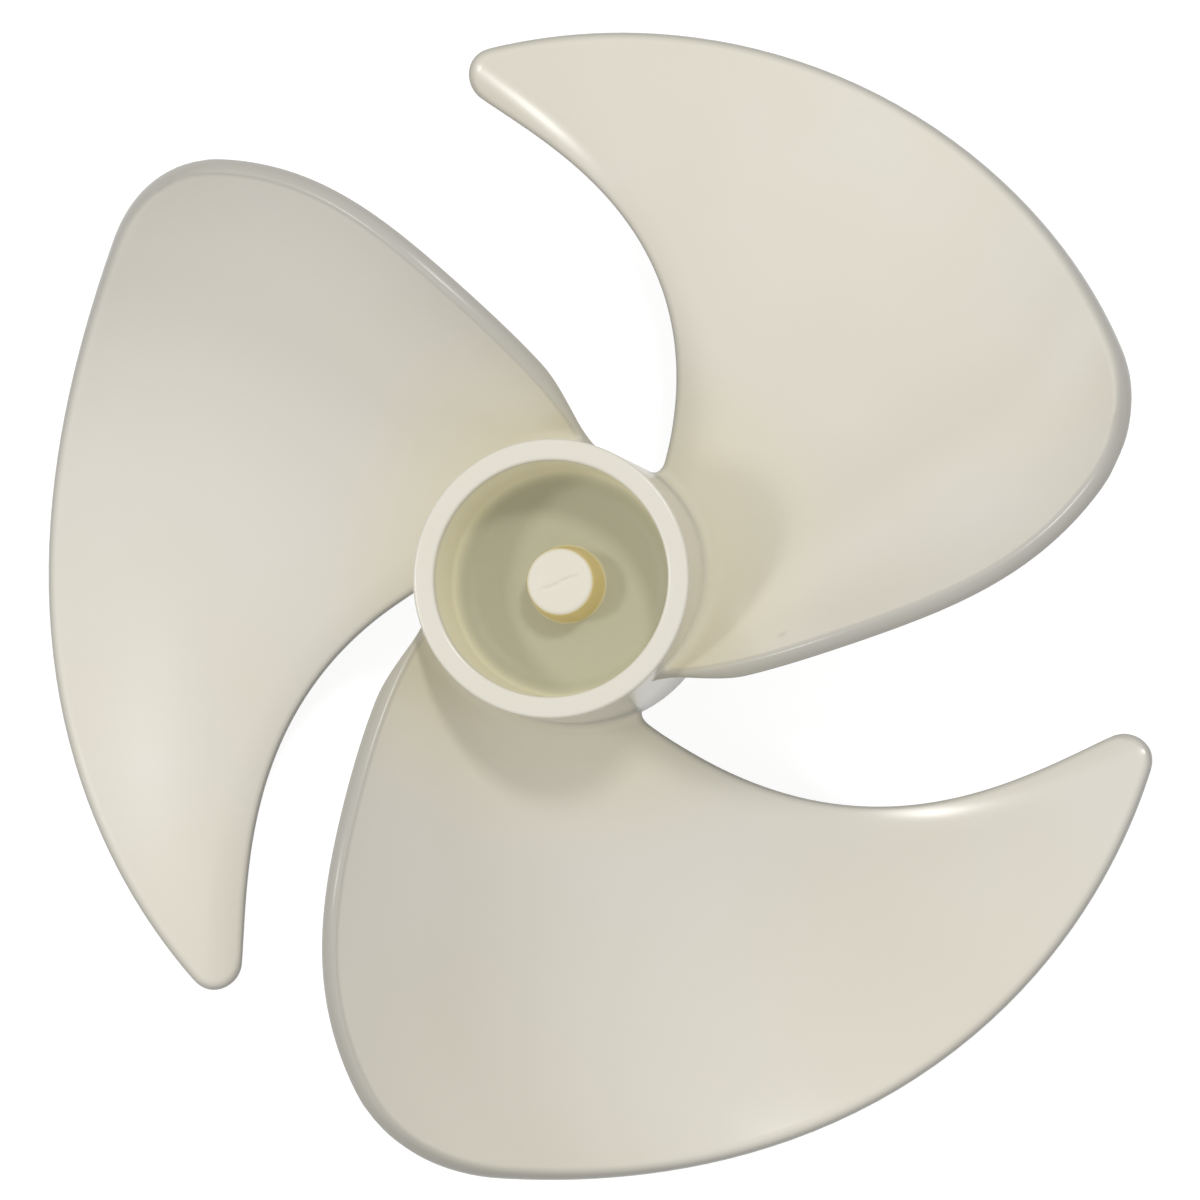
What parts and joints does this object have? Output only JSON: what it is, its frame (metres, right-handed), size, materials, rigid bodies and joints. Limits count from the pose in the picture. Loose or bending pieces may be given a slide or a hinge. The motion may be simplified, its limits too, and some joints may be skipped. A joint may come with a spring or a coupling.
{
  "type": "refrigerator fan blade",
  "caption": "Moulded cream plastic axial fan with broad, twisted, forward-swept blades on a cup hub and a blind bore pressed onto a small motor shaft.",
  "frame": {"origin": "on the fan's axis, where the straight wall of the shaft bore starts at the back of the hub", "axes": "+Z along the shaft, from the motor towards the hub's open front"},
  "size_m": [0.1078, 0.1107, 0.0351],
  "materials": {
    "plastic": "smooth moulded cream plastic with a soft gloss"
  },
  "bodies": {
    "root": {"fan_blade": "plastic"}
  },
  "joints": []
}
